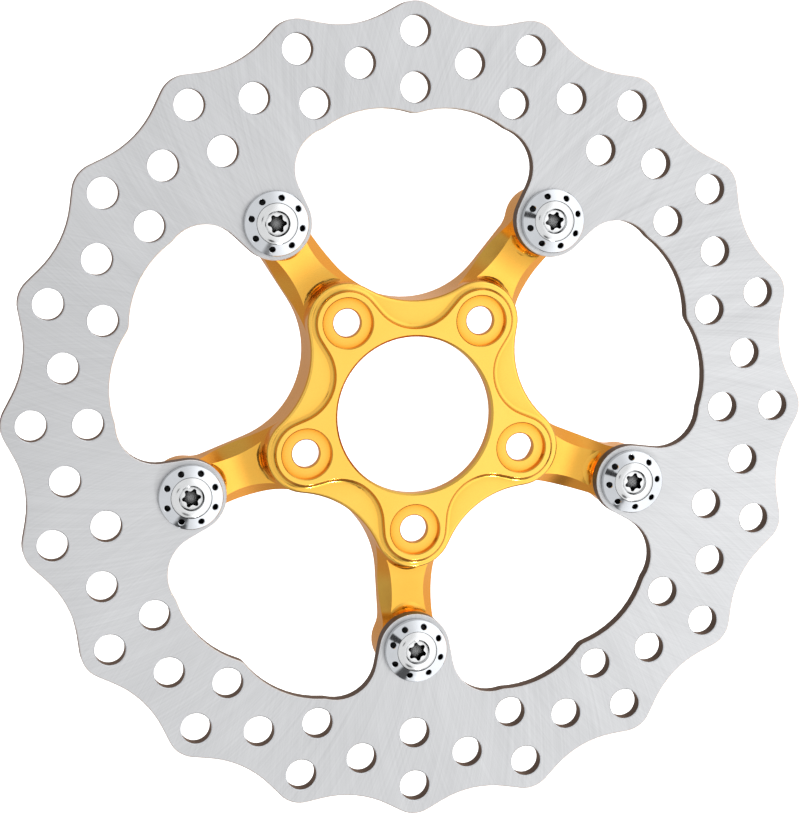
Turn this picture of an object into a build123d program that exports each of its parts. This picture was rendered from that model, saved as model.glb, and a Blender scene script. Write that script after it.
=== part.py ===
from build123d import *
import os
from math import acos, atan2, cos, degrees, radians, sin, sqrt

# Two-piece floating brake disc rotor: a drilled steel disc with a lobed rim and five inward tabs,
# carried on a five-arm billet carrier by five flanged drive buttons.
# Millimetres. The rotor axis is Z and the outer face looks along +Z.
# The origin is the centre of the pilot bore, on the face that the wheel hub is bolted against.

# ---------------------------------------------------------------- driving dimensions

LOBES = 20                      # rim lobes, and holes in each ring
ARMS = 5                        # carrier arms, tabs, buttons and hub bolts
FIRST_ARM = 54.0                # angle of the first arm; one arm points along -Y
PITCH = 360.0 / LOBES
ARM_STEP = 360.0 / ARMS

FLANGE = 5.0                    # hub flange thickness, so its outer face is at z = 5
FACE_Z = FLANGE                 # outer face of the disc, flush with the flange
BACK_Z = FACE_Z - 22.0          # back rim of the carrier

DISC_OD = 292.1                 # 11.5 inch rotor
DISC_THICKNESS = 5.6
RIM_VALLEY_R = 139.7            # rim radius midway between two lobes
RIM_SCALLOP_R = 36.0
HOLE_R = 5.5
OUTER_RING_R = 135.6            # the rim lobes are concentric with the outer holes
MIDDLE_RING_R = 125.8           # this ring is turned by half a pitch
INNER_RING_R = 116.0
EDGE_BREAK = 0.3                # bevel on every disc edge

WINDOW_CUSP_R = 106.7           # window edge at a lobe angle
WINDOW_PEAK_R = 109.5           # window edge midway between two lobe angles
WINDOW_CUSP_FILLET = 5.0
FLANK_R = 14.5                  # hollow between a tab and the ring
BUTTON_CIRCLE_R = 85.1          # the buttons' axes
TAB_R = 13.0                    # rounded end of a tab
TAB_HOLE_R = 9.15               # 0.15 mm of play round the drive button

BOLT_CIRCLE_R = 82.55 / 2       # 3.25 inch hub bolt circle
BOLT_HOLE_R = 5.0               # for 3/8 inch bolts
BOLT_SEAT_R = 9.05
BOLT_SEAT_DEPTH = 2.0
BORE_R = 28.2                   # pilot bore
BORE_CHAMFER = 0.7

PLATEAU_LOBE_R = 11.1           # raised hub face round each bolt
PLATEAU_GAP_R = 31.0            # raised hub face between two bolts
PLATEAU_SCALLOP_R = 16.6
PLATEAU_ROUND = 0.3
SHELF_DEPTH = 2.0               # shelf below the hub face
SHELF_COVE = 1.9
STAR_LOBE_R = 14.2              # outside of the star round each bolt
STAR_GAP_R = 41.0               # outside of the star between two arms
STAR_ROUND = 1.1                # rounded rim of the star
STAR_FOOT_R = 4.0               # cove between the star's wall and the top of an arm
GAP_R = 33.4                    # hollow between two arms

POCKET_R = 33.8                 # recess behind the flange
POCKET_LOBE_R = 10.2            # and behind each bolt
POCKET_FILLET = 3.0

BOSS_R = 11.6
NECK_HALF_W = 9.4               # half the arm's width where it runs into its boss
NECK_R = 10.0                   # fillet between the two
BOSS_FOOT_R = 6.0               # cove between the boss and the top of its arm
SADDLE_R = 26.0                 # scoop across the top of an arm
SADDLE_AT = 63.5
SADDLE_DEPTH = 12.5             # its lowest line, below the disc face
FLUTE_R = 22.0                  # tilted scoops on both sides of an arm
FLUTE_AT = 64.8
FLUTE_TILT = 50.6
FLUTE_OFFSET = -0.2             # distance of its lowest line from the arm's axis at z = 0
BACK_CHAMFER = 0.5
SEAT_CHAMFER = 0.3

CAP_R = 11.4                    # flange of a drive button
CAP_EDGE_H = 2.1                # heights above the disc face
CAP_BEVEL_R = 11.2
CAP_BEVEL_H = 2.3
CAP_CROWN_H = 3.6
CAP_GAP = 0.05
SHANK_R = 9.0
SHANK_SEAT = 2.5                # depth of the shank's seat in the boss
PIN_HOLES = 8
PIN_HOLE_R = 1.07
PIN_HOLE_CIRCLE_R = 9.2
PIN_HOLE_DEPTH = 1.7
PIN_HOLE_BEVEL = 0.2
PIN_HOLE_TURN = (15.7, 34.4, 22.4, 28.7, 5.1)   # how far each button happens to be turned

HEAD_R = 7.2                    # button-head screw
HEAD_H = 4.4
HEAD_TOP_H = 4.3                # top of the head, above the disc face
HEAD_EDGE_H = 3.45
HEAD_BULGE = 0.18               # of the dome, beyond a straight cone
HEAD_SEAT_R = 7.3
HEAD_RIM_R = 4.5                # mouth of the shallow bowl round the socket
BOWL_R = 3.9
BOWL_DEPTH = 0.8
SCREW_HOLE_R = 4.2
SCREW_R = 4.0
SCREW_END_Z = BACK_Z + 1.0
SCREW_TIP = 0.6
THREAD_R = 4.05
SOCKET_R = 3.4                  # six-lobe socket, from the axis to a point
SOCKET_CORE_R = 2.75
SOCKET_POINT_R = 0.72
SOCKET_NOTCH_R = 0.95
SOCKET_DEPTH = 3.0              # below the top of the head
SOCKET_TURN = (12.0, 3.0, 8.0, 40.0, 20.0)

SHIM_R = 11.4
SHIM_HOLE_R = 9.2
SHIM_T = 0.6
WAVE_R = 11.2
WAVE_HOLE_R = 9.3
WAVE_T = 0.3
WAVE_H = 0.9                    # overall height of the wave washer as fitted
STACK_GAP = 0.03

DISC_BACK_Z = FACE_Z - DISC_THICKNESS
SHIM_TOP_Z = DISC_BACK_Z - STACK_GAP
SHIM_BOTTOM_Z = SHIM_TOP_Z - SHIM_T
BOSS_TOP_Z = SHIM_BOTTOM_Z - WAVE_H - 2 * STACK_GAP


def polar(radius, angle):
    """Point in the XY plane at a radius and an angle in degrees."""
    return Vector(radius * cos(radians(angle)), radius * sin(radians(angle)))


def on_arms(shape):
    """Copies of a shape made on the +X axis, one on each arm."""
    return [Rot(0, 0, FIRST_ARM + ARM_STEP * n) * shape for n in range(ARMS)]


def tangent_angle(first, first_r, second, second_r, side):
    """Angle, from both centres, of the points where one straight line touches two circles.

    A negative radius is for a circle on the far side of the line; side is 1 or -1.
    """
    across = second - first
    return degrees(atan2(across.Y, across.X)) + side * degrees(acos((first_r - second_r) / across.length))


def all_round(half, count=ARMS):
    """Closed outline from the edges between the +X axis and the first half-way line of a pattern."""
    step = 360 / count
    mirror_plane = Plane.XZ.rotated((0, 0, step / 2))
    sector = half + [edge.mirror(mirror_plane) for edge in half]
    return make_face([Rot(0, 0, FIRST_ARM + step * n) * edge for edge in sector for n in range(count)])


def hole(radius, high, low, bevel):
    """Round hole from one height down to a lower one, with a bevelled mouth."""
    over = 0.5
    return lathe((
        (0, low), (radius, low), (radius, high - bevel), (radius + bevel + over, high + over), (0, high + over),
    ))


def lobed(count, circle_r, lobe_r, gap_r, hollow_r):
    """Round lobes centred on a circle, with a round hollow between neighbours."""
    half_step = 180 / count
    lobe = Vector(circle_r, 0)
    hollow = polar(gap_r + hollow_r, half_step)
    slope = tangent_angle(lobe, lobe_r, hollow, -hollow_r, -1)
    leave = lobe + polar(lobe_r, slope)
    meet = hollow - polar(hollow_r, slope)
    return all_round([
        ThreePointArc(lobe + Vector(lobe_r, 0), lobe + polar(lobe_r, slope / 2), leave),
        Line(leave, meet),
        ThreePointArc(meet, hollow - polar(hollow_r, (slope + half_step) / 2), polar(gap_r, half_step)),
    ], count)


def star(lobe_r, gap_r, hollow_r):
    """Five lobes centred on the hub bolts."""
    return lobed(ARMS, BOLT_CIRCLE_R, lobe_r, gap_r, hollow_r)


def level_edges(solid, z):
    """Edges of a solid that lie at one height."""
    return solid.edges().filter_by(
        lambda e: abs(e.bounding_box().min.Z - z) < 1e-4 and abs(e.bounding_box().max.Z - z) < 1e-4)


def plate(outline, low, high):
    """Outline made solid between two heights."""
    return extrude(Pos(0, 0, low) * outline, high - low)


def lathe(points):
    """Solid turned about Z from an outline of (radius, height) points."""
    return revolve(make_face(Plane.XZ * Polyline(*points, close=True)), Axis.Z)


# ---------------------------------------------------------------- brake disc

def window_outline():
    """Inner edge of the disc: five scalloped windows with a rounded tab between neighbours."""
    button = Vector(BUTTON_CIRCLE_R, 0)
    flank = polar(WINDOW_CUSP_R - FLANK_R, PITCH)
    slope = tangent_angle(button, TAB_R, flank, -FLANK_R, 1)
    leave = button + polar(TAB_R, slope)
    meet = flank - polar(FLANK_R, slope)
    cusp = polar(WINDOW_CUSP_R, PITCH)
    outline = all_round([
        ThreePointArc(button - Vector(TAB_R, 0), button + polar(TAB_R, (slope + 180) / 2), leave),
        Line(leave, meet),
        ThreePointArc(meet, flank + polar(FLANK_R, (slope - 180 + PITCH) / 2), cusp),
        ThreePointArc(cusp, polar(WINDOW_PEAK_R, 1.5 * PITCH), polar(WINDOW_CUSP_R, 2 * PITCH)),
    ])
    cusps = [v for v in outline.vertices() if abs(v.center().length - WINDOW_CUSP_R) < 0.01]
    return fillet(cusps, WINDOW_CUSP_FILLET)


def brake_disc():
    """Lobed disc with three rings of drilled holes, and a hole in each tab for its drive button."""
    outline = lobed(LOBES, OUTER_RING_R, DISC_OD / 2 - OUTER_RING_R, RIM_VALLEY_R, RIM_SCALLOP_R)
    outline -= window_outline()
    for ring_r, turn in ((OUTER_RING_R, 0), (MIDDLE_RING_R, PITCH / 2), (INNER_RING_R, 0)):
        outline -= PolarLocations(ring_r, LOBES, start_angle=turn) * Circle(HOLE_R)
    outline -= PolarLocations(BUTTON_CIRCLE_R, ARMS, start_angle=FIRST_ARM) * Circle(TAB_HOLE_R)
    disc = plate(outline, DISC_BACK_Z, FACE_Z)
    return chamfer(level_edges(disc, FACE_Z) + level_edges(disc, DISC_BACK_Z), EDGE_BREAK)


# ---------------------------------------------------------------- carrier

def carrier_plan():
    """Hub, arms and the bosses under the disc's tabs, seen from above."""
    boss = Vector(BUTTON_CIRCLE_R, 0)
    neck_y = NECK_HALF_W + NECK_R
    neck = boss + Vector(-sqrt((BOSS_R + NECK_R) ** 2 - neck_y ** 2), neck_y)
    turn = degrees(atan2(neck_y, neck.X - boss.X))
    touch = boss + polar(BOSS_R, turn)
    hollow = polar(STAR_GAP_R + GAP_R, ARM_STEP / 2)
    slope = tangent_angle(hollow, GAP_R, neck, NECK_R, -1)
    neck_end = neck + polar(NECK_R, slope)
    hollow_end = hollow + polar(GAP_R, slope)
    return all_round([
        ThreePointArc(boss + Vector(BOSS_R, 0), boss + polar(BOSS_R, turn / 2), touch),
        ThreePointArc(touch, neck + polar(NECK_R, (turn - 180 + slope) / 2), neck_end),
        Line(neck_end, hollow_end),
        ThreePointArc(hollow_end, hollow + polar(GAP_R, (slope - 180 + ARM_STEP / 2) / 2),
                      polar(STAR_GAP_R, ARM_STEP / 2)),
    ])


def arm_scoops():
    """The three crossing scoops that shape the top of the arm on the +X axis."""
    reach = 60.0
    lowest = FACE_Z - SADDLE_DEPTH
    scoops = [Pos(SADDLE_AT, 0, lowest + SADDLE_R) * Rot(90, 0, 0) * Cylinder(SADDLE_R, reach)]
    flute = Pos(0, 0, FLUTE_R + FLUTE_OFFSET) * Rot(90, 0, 0) * Cylinder(FLUTE_R, reach)
    for side in (1, -1):
        scoops.append(Pos(FLUTE_AT, 0, 0) * Rot(-side * FLUTE_TILT, 0, 0) * flute)
    return scoops


def saddle_z(distance):
    """Height of the saddle at a distance from the rotor's axis."""
    return FACE_Z - SADDLE_DEPTH + SADDLE_R - sqrt(SADDLE_R ** 2 - (SADDLE_AT - distance) ** 2)


def foot(wall_r, cove_r, floor):
    """Round post on Z whose wall flares out into the saddle with a cove."""
    reach = wall_r + cove_r
    top = floor + cove_r
    cove = CenterArc((reach, top), cove_r, 180, 90)
    outline = Plane.XZ * (cove + Polyline(cove @ 1, (reach, BACK_Z), (0, BACK_Z), (0, top), cove @ 0))
    return revolve(make_face(outline), Axis.Z)


def star_top():
    """Star with a rounded rim, and the raised hub face on it with a cove at its foot."""
    shelf_z = FACE_Z - SHELF_DEPTH
    low_z = BOSS_TOP_Z - SADDLE_DEPTH / 2
    top = plate(star(STAR_LOBE_R, STAR_GAP_R, GAP_R), low_z, shelf_z)
    top = fillet(level_edges(top, shelf_z), STAR_ROUND)
    rim = [edge @ 0.5 for edge in level_edges(top, shelf_z)]
    top += plate(star(PLATEAU_LOBE_R, PLATEAU_GAP_R, PLATEAU_SCALLOP_R), shelf_z - 1, FACE_Z)
    corner = [e for e in level_edges(top, shelf_z) if min((e @ 0.5 - middle).length for middle in rim) > 0.01]
    top = fillet(corner, SHELF_COVE)
    return fillet(level_edges(top, FACE_Z), PLATEAU_ROUND)


def carrier():
    """Five-arm carrier, machined from one billet."""
    body = plate(carrier_plan(), BACK_Z, BOSS_TOP_Z)
    body = chamfer(level_edges(body, BACK_Z), BACK_CHAMFER)
    uncut = plate(star(STAR_LOBE_R, STAR_GAP_R, GAP_R), BACK_Z, FACE_Z)
    saddle, left_flute, right_flute = arm_scoops()
    for placed in on_arms(left_flute) + on_arms(right_flute):
        body -= placed - uncut
    star_reach = STAR_LOBE_R + STAR_FOOT_R
    boss_reach = BOSS_R + BOSS_FOOT_R
    star_foot = foot(STAR_LOBE_R, STAR_FOOT_R, saddle_z(BOLT_CIRCLE_R + star_reach))
    boss_foot = foot(BOSS_R, BOSS_FOOT_R, saddle_z(BUTTON_CIRCLE_R - boss_reach))
    uncut += on_arms(Pos(BOLT_CIRCLE_R, 0) * star_foot) + on_arms(Pos(BUTTON_CIRCLE_R, 0) * boss_foot)
    for placed in on_arms(saddle):
        body -= placed - uncut
    body += star_top()

    # Recess behind the flange, reaching behind each bolt.
    pocket = Circle(POCKET_R) + on_arms(Pos(BOLT_CIRCLE_R, 0) * Circle(POCKET_LOBE_R))
    body -= plate(fillet(pocket.vertices(), POCKET_FILLET), BACK_Z - 1, 0)

    # Pilot bore and bolt holes, with their seats and chamfers.
    bolts = PolarLocations(BOLT_CIRCLE_R, ARMS, start_angle=FIRST_ARM)
    body -= hole(BORE_R, FACE_Z, -1, BORE_CHAMFER)
    body -= bolts * hole(BOLT_HOLE_R, FACE_Z - BOLT_SEAT_DEPTH, -1, SEAT_CHAMFER)
    body -= bolts * hole(BOLT_SEAT_R, FACE_Z, FACE_Z - BOLT_SEAT_DEPTH, SEAT_CHAMFER)

    # Seats and tapped holes for the drive buttons.
    buttons = PolarLocations(BUTTON_CIRCLE_R, ARMS, start_angle=FIRST_ARM)
    body -= buttons * hole(THREAD_R, BOSS_TOP_Z - SHANK_SEAT, BACK_Z - 1, SEAT_CHAMFER)
    body -= buttons * hole(SHANK_R, BOSS_TOP_Z, BOSS_TOP_Z - SHANK_SEAT, SEAT_CHAMFER)
    return body


# ---------------------------------------------------------------- drive buttons

def socket():
    """Outline of the screw's six-lobe socket."""
    outline = Circle(SOCKET_CORE_R)
    outline += PolarLocations(SOCKET_R - SOCKET_POINT_R, 6) * Circle(SOCKET_POINT_R)
    outline -= PolarLocations(SOCKET_R, 6, start_angle=30) * Circle(SOCKET_NOTCH_R)
    return outline


def button_cap():
    """Flanged drive button: crowned flange with eight blind holes, and the shank that drives the disc."""
    seat_z = FACE_Z + HEAD_TOP_H - HEAD_H
    foot_z = BOSS_TOP_Z - SHANK_SEAT
    slope = (CAP_CROWN_H - CAP_BEVEL_H) / (CAP_BEVEL_R - HEAD_SEAT_R)
    cap = lathe((
        (SCREW_HOLE_R, foot_z),
        (SHANK_R - SEAT_CHAMFER, foot_z),
        (SHANK_R, foot_z + SEAT_CHAMFER),
        (SHANK_R, FACE_Z + CAP_GAP),
        (CAP_R, FACE_Z + CAP_GAP),
        (CAP_R, FACE_Z + CAP_EDGE_H),
        (CAP_BEVEL_R, FACE_Z + CAP_BEVEL_H),
        (HEAD_SEAT_R, FACE_Z + CAP_CROWN_H),
        (HEAD_SEAT_R, seat_z),
        (SCREW_HOLE_R, seat_z),
    ))
    crown_z = FACE_Z + CAP_CROWN_H - slope * (PIN_HOLE_CIRCLE_R - HEAD_SEAT_R)
    square_to_crown = Pos(0, 0, crown_z) * Rot(0, degrees(atan2(slope, 1)), 0)
    pin_hole = square_to_crown * hole(PIN_HOLE_R, 0, -PIN_HOLE_DEPTH, PIN_HOLE_BEVEL)
    return cap - PolarLocations(PIN_HOLE_CIRCLE_R, PIN_HOLES) * pin_hole


def button_screw():
    """Button-head screw with a domed head and a shallow bowl round its socket."""
    top_z = FACE_Z + HEAD_TOP_H
    seat_z = top_z - HEAD_H
    edge_z = FACE_Z + HEAD_EDGE_H
    outline = Plane.XZ * (
        Polyline((0, SCREW_END_Z), (SCREW_R - SCREW_TIP, SCREW_END_Z), (SCREW_R, SCREW_END_Z + SCREW_TIP),
                 (SCREW_R, seat_z), (HEAD_R, seat_z), (HEAD_R, edge_z))
        + SagittaArc((HEAD_R, edge_z), (HEAD_RIM_R, top_z), -HEAD_BULGE)
        + Polyline((HEAD_RIM_R, top_z), (BOWL_R, top_z - BOWL_DEPTH), (0, top_z - BOWL_DEPTH), (0, SCREW_END_Z))
    )
    screw = revolve(make_face(outline), Axis.Z)
    return screw - plate(socket(), top_z - SOCKET_DEPTH, top_z)


def shim_washer():
    """Flat washer against the back of the disc's tab."""
    return plate(Circle(SHIM_R) - Circle(SHIM_HOLE_R), SHIM_BOTTOM_Z, SHIM_TOP_Z)


def wave_washer():
    """Spring washer with three waves, between the flat washer and the carrier's boss."""
    swing = (WAVE_H - WAVE_T) / 2 / WAVE_R ** 3
    steps = [WAVE_R * 1.1 * n / 6 for n in range(-6, 7)]
    points = [[(x, y, swing * (x ** 3 - 3 * x * y * y)) for y in steps] for x in steps]
    sheet = extrude(Face.make_surface_from_array_of_points(points, min_deg=3), WAVE_T, dir=(0, 0, 1))
    ring = plate(Circle(WAVE_R) - Circle(WAVE_HOLE_R), -WAVE_H, WAVE_H)
    return Pos(0, 0, (BOSS_TOP_Z + SHIM_BOTTOM_Z - WAVE_T) / 2) * (sheet & ring)


# ---------------------------------------------------------------- parts, one file each

os.makedirs("parts", exist_ok=True)
export_step(brake_disc(), "parts/brake_disc.step")
export_step(carrier(), "parts/carrier.step")
for n in range(ARMS):
    place = Rot(0, 0, FIRST_ARM + ARM_STEP * n) * Pos(BUTTON_CIRCLE_R, 0, 0) * Rot(0, 0, -FIRST_ARM - ARM_STEP * n)
    export_step(place * Rot(0, 0, PIN_HOLE_TURN[n]) * button_cap(), f"parts/button_cap_{n + 1}.step")
    export_step(place * Rot(0, 0, SOCKET_TURN[n]) * button_screw(), f"parts/button_screw_{n + 1}.step")
    export_step(place * shim_washer(), f"parts/shim_washer_{n + 1}.step")
    export_step(place * wave_washer(), f"parts/wave_washer_{n + 1}.step")
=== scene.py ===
from math import cos, radians, sin

import bpy
from mathutils import Matrix, Vector


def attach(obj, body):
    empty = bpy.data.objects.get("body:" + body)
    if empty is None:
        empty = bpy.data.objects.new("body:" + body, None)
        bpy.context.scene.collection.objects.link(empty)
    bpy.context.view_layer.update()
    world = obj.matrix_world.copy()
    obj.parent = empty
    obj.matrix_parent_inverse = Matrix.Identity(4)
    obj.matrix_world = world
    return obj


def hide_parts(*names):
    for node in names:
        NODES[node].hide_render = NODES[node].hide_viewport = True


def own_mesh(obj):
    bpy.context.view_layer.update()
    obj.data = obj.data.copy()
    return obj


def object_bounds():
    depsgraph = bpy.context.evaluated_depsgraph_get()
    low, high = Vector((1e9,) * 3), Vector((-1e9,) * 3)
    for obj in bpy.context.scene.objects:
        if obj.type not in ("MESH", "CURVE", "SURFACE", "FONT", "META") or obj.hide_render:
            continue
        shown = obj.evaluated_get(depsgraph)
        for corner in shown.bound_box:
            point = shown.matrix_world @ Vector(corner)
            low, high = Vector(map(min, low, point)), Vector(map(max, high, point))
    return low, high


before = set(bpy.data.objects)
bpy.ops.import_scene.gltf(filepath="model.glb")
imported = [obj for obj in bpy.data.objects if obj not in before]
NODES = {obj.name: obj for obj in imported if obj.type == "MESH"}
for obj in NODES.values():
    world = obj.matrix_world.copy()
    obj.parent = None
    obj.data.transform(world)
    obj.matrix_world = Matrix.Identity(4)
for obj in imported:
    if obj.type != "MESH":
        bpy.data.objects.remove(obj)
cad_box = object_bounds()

# Looks for the floating brake disc rotor. Metres, in the CAD model's own frame:
# the rotor's axis is Z and the outer face looks along +Z.

ARMS = 5
FIRST_ARM = 54.0
ARM_STEP = 360.0 / ARMS
BUTTON_CIRCLE_R = 0.0851
DISC_MID_R = 0.126              # middle ring of holes
FLOOR_DROP = 0.12               # below the rotor
FLOOR_HALF = 6.0

CAMERA_AT = (-0.18611, 0.10465, 0.79611)
CAMERA_RIGHT = (0.974972, 0.000563, 0.222338)
CAMERA_UP = (0.027020, 0.992285, -0.120997)
CAMERA_BACK = (-0.220691, 0.123976, 0.967433)
CAMERA_LENS = 101.687           # millimetres, on a 36 mm sensor


# ---------------------------------------------------------------- node helpers

class Graph:
    """A node tree with short calls for the nodes that the materials use."""

    def __init__(self, tree):
        self.tree = tree
        self.nodes = tree.nodes
        self.nodes.clear()

    def node(self, kind, **settings):
        """A new node, with settings that aren't sockets."""
        made = self.nodes.new(kind)
        for name, value in settings.items():
            setattr(made, name, value)
        return made

    def plug(self, value, socket):
        """Joins an output to an input, or sets the input to a number, colour or vector."""
        if isinstance(value, bpy.types.NodeSocket):
            self.tree.links.new(value, socket)
        elif value is not None:
            socket.default_value = value

    def math(self, operation, a, b=None):
        made = self.node("ShaderNodeMath", operation=operation)
        for value, socket in zip((a, b), made.inputs):
            self.plug(value, socket)
        return made.outputs[0]

    def vector(self, operation, a, b=None, scale=None):
        made = self.node("ShaderNodeVectorMath", operation=operation)
        self.plug(a, made.inputs[0])
        if b is not None:
            self.plug(b, made.inputs[1])
        if scale is not None:
            self.plug(scale, made.inputs["Scale"])
        return made.outputs["Value" if operation in ("LENGTH", "DOT_PRODUCT", "DISTANCE") else "Vector"]

    def split(self, vector):
        made = self.node("ShaderNodeSeparateXYZ")
        self.plug(vector, made.inputs[0])
        return made.outputs

    def join(self, x, y, z):
        made = self.node("ShaderNodeCombineXYZ")
        for value, socket in zip((x, y, z), made.inputs):
            self.plug(value, socket)
        return made.outputs[0]

    def noise(self, vector, scale, detail, roughness):
        made = self.node("ShaderNodeTexNoise")
        self.plug(vector, made.inputs["Vector"])
        made.inputs["Scale"].default_value = scale
        made.inputs["Detail"].default_value = detail
        made.inputs["Roughness"].default_value = roughness
        return made.outputs[0]

    def remap(self, value, low, high, to_low=0.0, to_high=1.0, smooth=False):
        """Turns the range low to high into to_low to to_high, and holds it there beyond the ends."""
        made = self.node("ShaderNodeMapRange")
        made.interpolation_type = "SMOOTHSTEP" if smooth else "LINEAR"
        for setting, socket in zip((value, low, high, to_low, to_high), made.inputs):
            self.plug(setting, socket)
        return made.outputs[0]

    def mix(self, factor, a, b):
        made = self.node("ShaderNodeMix", data_type="RGBA")
        self.plug(factor, made.inputs[0])
        self.plug(a, made.inputs[6])
        self.plug(b, made.inputs[7])
        return made.outputs[2]

    def bump(self, height, distance, strength):
        made = self.node("ShaderNodeBump")
        made.inputs["Strength"].default_value = strength
        made.inputs["Distance"].default_value = distance
        self.plug(height, made.inputs["Height"])
        return made.outputs[0]

    def openness(self, distance):
        """How open the surface is within a distance: 1 on a free face, towards 0 far inside a hole."""
        made = self.node("ShaderNodeAmbientOcclusion", samples=8)
        made.inputs["Distance"].default_value = distance
        return made.outputs["AO"]

    def position(self):
        return self.node("ShaderNodeTexCoord").outputs["Object"]

    def facing(self):
        """How far the surface faces along the rotor's axis: 1 on a flat face, 0 on a wall."""
        return self.math("ABSOLUTE", self.split(self.node("ShaderNodeNewGeometry").outputs["Normal"])[2])


def material(name):
    """New material, with its node graph and shader."""
    made = bpy.data.materials.new(name)
    made.use_nodes = True
    graph = Graph(made.node_tree)
    shader = graph.node("ShaderNodeBsdfPrincipled")
    output = graph.node("ShaderNodeOutputMaterial")
    graph.plug(shader.outputs[0], output.inputs["Surface"])
    return made, graph, shader


def grey(value):
    return (value, value, value, 1.0)


# ---------------------------------------------------------------- materials

def disc_steel():
    """Stainless disc: faces ground in fine near-radial lines, bright bevels, dark laser-cut walls, and
    painted shade that darkens walls and bevels in the holes.
    """
    made, g, shader = material("ground_steel")
    where = g.position()
    x, y, _ = g.split(where)
    flat = g.join(x, y, 0.0)
    radius = g.vector("LENGTH", flat)
    around = g.vector("NORMALIZE", flat)

    def lines(lean, count, stretch, detail):
        """Noise drawn out along lines that cross the ring, leaning a little from the radius."""
        turn = g.node("ShaderNodeVectorRotate", rotation_type="Z_AXIS")
        g.plug(around, turn.inputs["Vector"])
        g.plug(g.math("MULTIPLY", g.math("SUBTRACT", radius, DISC_MID_R), lean), turn.inputs["Angle"])
        tx, ty, _ = g.split(turn.outputs[0])
        drawn_out = g.join(g.math("MULTIPLY", tx, count), g.math("MULTIPLY", ty, count),
                           g.math("MULTIPLY", radius, stretch))
        return g.noise(drawn_out, 1.0, detail, 0.6)

    first = lines(2.6, 190.0, 14.0, 3.0)
    second = lines(-2.0, 260.0, 22.0, 3.0)
    broad = lines(1.2, 26.0, 6.0, 2.0)
    grain = g.math("ADD", g.math("MULTIPLY", first, 0.55), g.math("MULTIPLY", second, 0.45))

    facing = g.facing()
    face = g.remap(facing, 0.97, 0.995)
    bevel = g.remap(facing, 0.35, 0.6)
    blotch = g.noise(where, 38.0, 3.0, 0.55)
    tone = g.math("ADD", g.remap(grain, 0.3, 0.7, 0.53, 0.63), g.remap(blotch, 0.3, 0.7, -0.015, 0.015))
    steel = g.mix(tone, grey(0.0), (0.99, 1.0, 1.02, 1.0))
    scale = g.noise(where, 900.0, 4.0, 0.6)
    wall = g.mix(scale, (0.03, 0.024, 0.024, 1.0), (0.09, 0.075, 0.07, 1.0))
    edge = g.mix(bevel, wall, (0.93, 0.96, 1.0, 1.0))
    # Painted shade: the walls and bevels grow darker where little of the surroundings is open, as down in
    # the holes.
    painted_hole_shade = g.remap(g.openness(0.008), 0.2, 0.75, 0.45, 1.0)
    g.plug(g.mix(face, g.vector("SCALE", edge, scale=painted_hole_shade), steel), shader.inputs["Base Color"])
    g.plug(g.remap(bevel, 0.0, 1.0, 0.55, 1.0), shader.inputs["Metallic"])
    rough = g.math("ADD", g.remap(grain, 0.3, 0.7, 0.44, 0.34), g.remap(broad, 0.3, 0.7, 0.05, -0.05))
    g.plug(g.math("ADD", g.math("MULTIPLY", rough, face), g.remap(face, 0.0, 1.0, 0.45, 0.0)),
           shader.inputs["Roughness"])
    shader.inputs["Anisotropic"].default_value = 0.55
    tangent = g.node("ShaderNodeTangent", direction_type="RADIAL", axis="Z")
    g.plug(tangent.outputs[0], shader.inputs["Tangent"])
    fine = g.math("ADD", grain, g.math("MULTIPLY", scale, g.remap(facing, 0.35, 0.5, 1.0, 0.0)))
    g.plug(g.bump(fine, 0.00002, 0.35), shader.inputs["Normal"])
    return made


def gold():
    """Polished billet under gold anodise: faint polishing waves, a clear oxide skin, and painted shade, a
    darker red orange with less metal in the hollows.
    """
    made, g, shader = material("gold_anodise")
    where = g.position()
    cloud = g.noise(where, 55.0, 3.0, 0.5)
    light = g.mix(g.remap(cloud, 0.3, 0.7), (0.95, 0.56, 0.085, 1.0), (0.98, 0.59, 0.10, 1.0))
    # Painted shade: in the hollows the colour runs to a dark red orange and the metal lessens, standing in
    # for the shade and the gold-to-gold reflections there.
    painted_hollow_shade = (0.88, 0.33, 0.010, 1.0)
    openness = g.openness(0.014)
    g.plug(g.mix(g.remap(openness, 0.50, 1.0), painted_hollow_shade, light), shader.inputs["Base Color"])
    g.plug(g.remap(openness, 0.4, 0.9, 0.90, 0.99), shader.inputs["Metallic"])
    g.plug(g.remap(g.noise(where, 420.0, 4.0, 0.6), 0.3, 0.7, 0.13, 0.19), shader.inputs["Roughness"])
    shader.inputs["Coat Weight"].default_value = 0.25
    shader.inputs["Coat Roughness"].default_value = 0.12
    shader.inputs["Coat IOR"].default_value = 1.6
    wave = g.noise(where, 130.0, 2.0, 0.5)
    g.plug(g.bump(wave, 0.00004, 0.12), shader.inputs["Normal"])
    return made


def turned(name, centre, colour, low_rough, high_rough, depth=0.002, hole_shade_below=0.45):
    """Polished turned part with faint rings about its own axis.

    Painted shade: it turns almost fully dark in its holes, where the openness within a depth is under the
    given threshold.
    """
    rings = 5200.0
    made, g, shader = material(name)
    where = g.position()
    x, y, z = g.split(where)
    out = g.vector("LENGTH", g.join(g.math("SUBTRACT", x, centre.x), g.math("SUBTRACT", y, centre.y), 0.0))
    ring = g.noise(g.join(g.math("MULTIPLY", out, rings), 0.0, g.math("MULTIPLY", z, rings)), 1.0, 2.0, 0.6)
    smear = g.noise(where, 300.0, 3.0, 0.5)
    metal = g.mix(g.remap(smear, 0.3, 0.7), [c * 0.95 for c in colour[:3]] + [1.0], colour)
    # Painted shade: near-zero colour in holes and sockets, where little of the surroundings is open.
    g.plug(g.mix(g.remap(g.openness(depth), hole_shade_below, hole_shade_below + 0.35, smooth=True), grey(0.004), metal),
           shader.inputs["Base Color"])
    shader.inputs["Metallic"].default_value = 1.0
    g.plug(g.remap(smear, 0.3, 0.7, low_rough, high_rough), shader.inputs["Roughness"])
    g.plug(g.bump(ring, 0.000004, 0.2), shader.inputs["Normal"])
    return made


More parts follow.
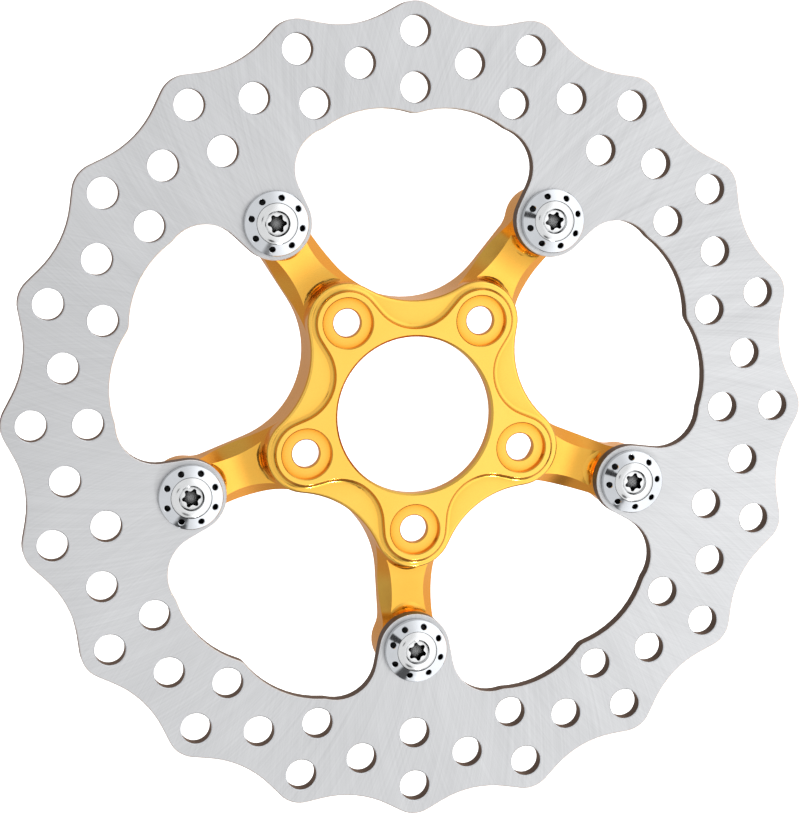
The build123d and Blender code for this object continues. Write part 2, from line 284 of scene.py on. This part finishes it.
def soft_washer(n, made):
    """Stands in for a wave washer: a copy of its mesh, on the carrier, in place of the hidden CAD node."""
    node = NODES[f"wave_washer_{n}"]
    mesh = node.data.copy()
    washer = bpy.data.objects.new(f"spring_washer_{n}", mesh)
    washer.matrix_world = node.matrix_world.copy()
    bpy.context.scene.collection.objects.link(washer)
    for slot in washer.material_slots:
        slot.material = made
    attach(washer, "carrier")
    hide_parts(f"wave_washer_{n}")
    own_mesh(washer)


def dress():
    """Gives every CAD node its material."""

    def wear(node, made):
        for slot in NODES[node].material_slots:
            slot.material = made

    wear("brake_disc", disc_steel())
    wear("carrier", gold())
    for n in range(ARMS):
        angle = radians(FIRST_ARM + ARM_STEP * n)
        centre = Vector((BUTTON_CIRCLE_R * cos(angle), BUTTON_CIRCLE_R * sin(angle), 0))
        wear(f"button_cap_{n + 1}",
             turned(f"polished_button_{n + 1}", centre, (0.71, 0.735, 0.77, 1.0), 0.05, 0.09))
        wear(f"button_screw_{n + 1}",
             turned(f"plated_screw_{n + 1}", centre, (0.82, 0.83, 0.84, 1.0), 0.10, 0.16,
                    depth=0.006, hole_shade_below=0.55))
        wear(f"shim_washer_{n + 1}",
             turned(f"shim_steel_{n + 1}", centre, (0.45, 0.42, 0.40, 1.0), 0.3, 0.4))
        spring = turned(f"spring_steel_{n + 1}", centre, (0.4, 0.4, 0.42, 1.0), 0.3, 0.4)
        wear(f"wave_washer_{n + 1}", spring)
        soft_washer(n + 1, spring)


dress()


# ---------------------------------------------------------------- floor, light and camera

def pale_floor():
    """Light table under the rotor."""
    low = cad_box[0][2] - FLOOR_DROP
    corners = [(x * FLOOR_HALF, y * FLOOR_HALF, low) for x, y in ((-1, -1), (1, -1), (1, 1), (-1, 1))]
    mesh = bpy.data.meshes.new("floor")
    mesh.from_pydata(corners, [], [(0, 1, 2, 3)])
    floor = bpy.data.objects.new("floor", mesh)
    bpy.context.scene.collection.objects.link(floor)
    made, _, shader = material("floor_white")
    shader.inputs["Base Color"].default_value = (0.8, 0.8, 0.8, 1.0)
    shader.inputs["Roughness"].default_value = 0.9
    shader.inputs["Emission Color"].default_value = (1.0, 1.0, 1.0, 1.0)
    shader.inputs["Emission Strength"].default_value = 0.9
    mesh.materials.append(made)
    floor.visible_glossy = False


def studio():
    """Soft white tent: brighter to the right, warm below the table, with three darker openings."""
    world = bpy.data.worlds.new("studio")
    world.use_nodes = True
    bpy.context.scene.world = world
    g = Graph(world.node_tree)
    toward = g.vector("NORMALIZE", g.node("ShaderNodeTexCoord").outputs["Generated"])
    x, y, z = g.split(toward)
    tent = g.remap(x, -0.05, 0.45, 0.86, 1.50, smooth=True)
    side = g.remap(z, 0.10, 0.72, 0.58, 1.0, smooth=True)
    light = g.math("MULTIPLY", tent, side)
    tint = g.mix(g.remap(z, -0.14, 0.03, smooth=True), (1.0, 0.68, 0.50, 1.0), (1.0, 1.0, 1.0, 1.0))

    def opening(direction, size, dark, soft):
        """Darkens a round patch of the tent about a direction."""
        away = g.vector("DISTANCE", toward, tuple(Vector(direction).normalized()))
        return g.remap(away, size, size + soft, dark, 1.0, smooth=True)

    light = g.math("MULTIPLY", light, opening((-0.30, 0.10, 0.95), 0.06, 0.05, 0.03))
    light = g.math("MULTIPLY", light, opening((-0.08, -0.69, 0.72), 0.09, 0.12, 0.08))
    light = g.math("MULTIPLY", light, opening((0.18, -0.96, 0.10), 0.30, 0.30, 0.20))
    background = g.node("ShaderNodeBackground")
    g.plug(light, background.inputs["Strength"])
    g.plug(tint, background.inputs["Color"])
    output = g.node("ShaderNodeOutputWorld")
    g.plug(background.outputs[0], output.inputs["Surface"])


def lamp(name, direction, distance, size, power):
    """Round lamp aimed at the middle of the rotor."""
    data = bpy.data.lights.new(name, "AREA")
    data.shape = "DISK"
    data.size = size
    data.energy = power
    made = bpy.data.objects.new(name, data)
    made.location = Vector(direction).normalized() * distance
    made.rotation_euler = (-made.location).to_track_quat("-Z", "Y").to_euler()
    bpy.context.scene.collection.objects.link(made)


def camera():
    """Camera at the photograph's viewing angle: almost square on, from the upper left."""
    data = bpy.data.cameras.new("camera")
    made = bpy.data.objects.new("camera", data)
    bpy.context.scene.collection.objects.link(made)
    turn = Matrix((CAMERA_RIGHT, CAMERA_UP, CAMERA_BACK)).transposed().to_4x4()
    made.matrix_world = Matrix.Translation(CAMERA_AT) @ turn
    data.sensor_width = 36.0
    data.lens = CAMERA_LENS
    data.clip_start = 0.01
    bpy.context.scene.camera = made


pale_floor()
studio()
lamp("low_front", (0.22, -0.82, 0.50), 1.2, 0.07, 2.6)
camera()
bpy.context.scene.view_settings.view_transform = "Standard"
